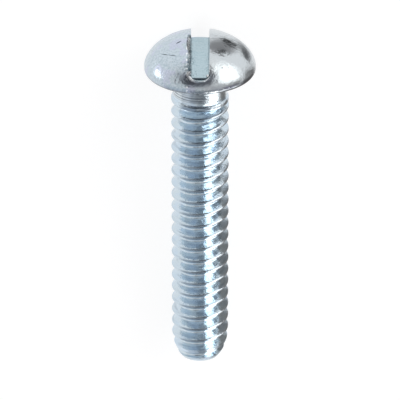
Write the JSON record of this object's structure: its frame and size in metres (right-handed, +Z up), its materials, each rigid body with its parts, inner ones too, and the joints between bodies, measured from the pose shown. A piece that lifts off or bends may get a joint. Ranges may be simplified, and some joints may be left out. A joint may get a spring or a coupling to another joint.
{
  "type": "machine screw",
  "caption": "Slotted round-head machine screw with a full-length coarse thread, bright zinc-plated steel, lying at rest.",
  "frame": {"origin": "centre of the bounding box's base, on the floor that the screw lies on", "axes": "+Y along the screw's length towards its head, its own axis leaning up by 5.06 degrees; +X across the slot, level; +Z up"},
  "size_m": [0.0066, 0.0214, 0.0066],
  "materials": {
    "zinc_plate": "bright zinc plate on steel, faintly blue, satin on the left of the head and glossy elsewhere"
  },
  "bodies": {
    "root": {"machine_screw": "zinc_plate"}
  },
  "joints": []
}
